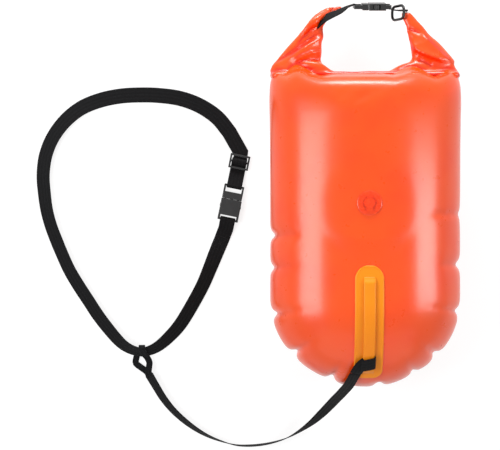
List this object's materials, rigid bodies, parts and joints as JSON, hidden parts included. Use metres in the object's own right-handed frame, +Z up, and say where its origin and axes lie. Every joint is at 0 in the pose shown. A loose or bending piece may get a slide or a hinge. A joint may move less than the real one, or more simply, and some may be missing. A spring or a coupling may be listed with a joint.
{
  "type": "open water swim buoy",
  "caption": "Inflatable swim buoy dry bag with a rolled and clipped carrying handle, inflation valve, tow patch, tow leash and adjustable waist belt.",
  "frame": {"origin": "on the floor, under the middle of the inflated bag with its handle, the leash and the belt left out", "axes": "+Y from the rounded foot of the bag towards the handle, +Z up out of the front with the valve, +X to the right when the front is looked at with the handle at the top"},
  "size_m": [0.6903, 0.7209, 0.1892],
  "materials": {
    "orange_coated_fabric": "satin",
    "grey_liner_film": "satin",
    "stiffener_plastic": "satin",
    "orange_valve_plastic": "gloss",
    "yellow_coated_fabric": "satin",
    "black_webbing": "matte",
    "black_buckle_plastic": "satin"
  },
  "bodies": {
    "bag": {"front_panel": "orange_coated_fabric", "back_panel": "orange_coated_fabric", "dry_liner": "grey_liner_film", "roll_band": "orange_coated_fabric", "mouth_stiffener": "stiffener_plastic", "left_horn": "orange_coated_fabric", "right_horn": "orange_coated_fabric", "handle_strap": "black_webbing", "handle_socket": "black_buckle_plastic", "handle_tab": "black_webbing", "valve_flange": "orange_valve_plastic", "patch_base": "yellow_coated_fabric", "patch_strip": "yellow_coated_fabric", "leash_hitch": "black_webbing", "leash_webbing": "black_webbing", "leash_eye": "black_webbing", "belt_webbing": "black_webbing", "waist_socket": "black_buckle_plastic"},
    "waist_clip_body": {"waist_clip": "black_buckle_plastic", "belt_return": "black_webbing"},
    "waist_prong_right_body": {"waist_prong_right": "black_buckle_plastic"},
    "waist_prong_left_body": {"waist_prong_left": "black_buckle_plastic"},
    "slider_body": {"belt_slider": "black_buckle_plastic"},
    "handle_clip_body": {"handle_clip": "black_buckle_plastic"},
    "handle_prong_front_body": {"handle_prong_front": "black_buckle_plastic"},
    "handle_prong_back_body": {"handle_prong_back": "black_buckle_plastic"},
    "ring_body": {"handle_ring": "black_buckle_plastic"},
    "valve_stem_body": {"valve_stem": "orange_valve_plastic"},
    "valve_plug_body": {"valve_plug": "orange_valve_plastic"},
    "valve_flap_body": {"valve_flap": "orange_valve_plastic"}
  },
  "joints": [
    {"name": "waist_release", "type": "slide", "parent": "bag", "child": "waist_clip_body", "axis": [0.1977, 0.9803, 0], "range_m": [0, 0.026], "deforming": ["belt_webbing", "belt_return", "waist_prong_right", "waist_prong_left"]},
    {"name": "waist_prong_right_squeeze", "type": "hinge", "parent": "waist_clip_body", "child": "waist_prong_right_body", "pos_m": [-0.20342, -0.00743, 0.0058], "axis": [0, 0, -1], "range_deg": [0, 17], "stiffness_Nm_per_rad": 0.01},
    {"name": "waist_prong_left_squeeze", "type": "hinge", "parent": "waist_clip_body", "child": "waist_prong_left_body", "pos_m": [-0.22302, -0.00348, 0.0058], "axis": [0, 0, 1], "range_deg": [0, 17], "stiffness_Nm_per_rad": 0.01},
    {"name": "slider_adjust", "type": "slide", "parent": "waist_clip_body", "child": "slider_body", "axis": [0.1977, 0.9803, 0], "range_m": [-0.02, 0.012]},
    {"name": "handle_release", "type": "slide", "parent": "bag", "child": "handle_clip_body", "axis": [-1, 0, 0], "range_m": [0, 0.026], "deforming": ["handle_strap", "handle_prong_front", "handle_prong_back"]},
    {"name": "handle_prong_front_squeeze", "type": "hinge", "parent": "handle_clip_body", "child": "handle_prong_front_body", "pos_m": [0.0032, 0.30128, 0.07522], "axis": [0, -0.9781, -0.2079], "range_deg": [0, 17], "stiffness_Nm_per_rad": 0.01},
    {"name": "handle_prong_back_squeeze", "type": "hinge", "parent": "handle_clip_body", "child": "handle_prong_back_body", "pos_m": [0.0032, 0.29712, 0.09478], "axis": [0, 0.9781, 0.2079], "range_deg": [0, 17], "stiffness_Nm_per_rad": 0.01},
    {"name": "ring_swing", "type": "hinge", "parent": "bag", "child": "ring_body", "pos_m": [0.0527, 0.3, 0.085], "axis": [0.5, 0, 0.866], "range_deg": [-24, 8]},
    {"name": "valve_stem_pull", "type": "slide", "parent": "bag", "child": "valve_stem_body", "axis": [0, 0, 1], "range_m": [0, 0.016]},
    {"name": "valve_plug_flip", "type": "hinge", "parent": "valve_stem_body", "child": "valve_plug_body", "pos_m": [0, -0.0072, 0.18515], "axis": [-1, 0, 0], "range_deg": [0, 90]},
    {"name": "valve_flap_open", "type": "hinge", "parent": "valve_stem_body", "child": "valve_flap_body", "pos_m": [0, -0.0069, 0.16255], "axis": [1, 0, 0], "range_deg": [0, 35], "stiffness_Nm_per_rad": 0.002}
  ],
  "couplings": [
    {"joint": "waist_prong_left_squeeze", "follows": "waist_prong_right_squeeze", "ratio": 1},
    {"joint": "handle_prong_back_squeeze", "follows": "handle_prong_front_squeeze", "ratio": 1}
  ]
}
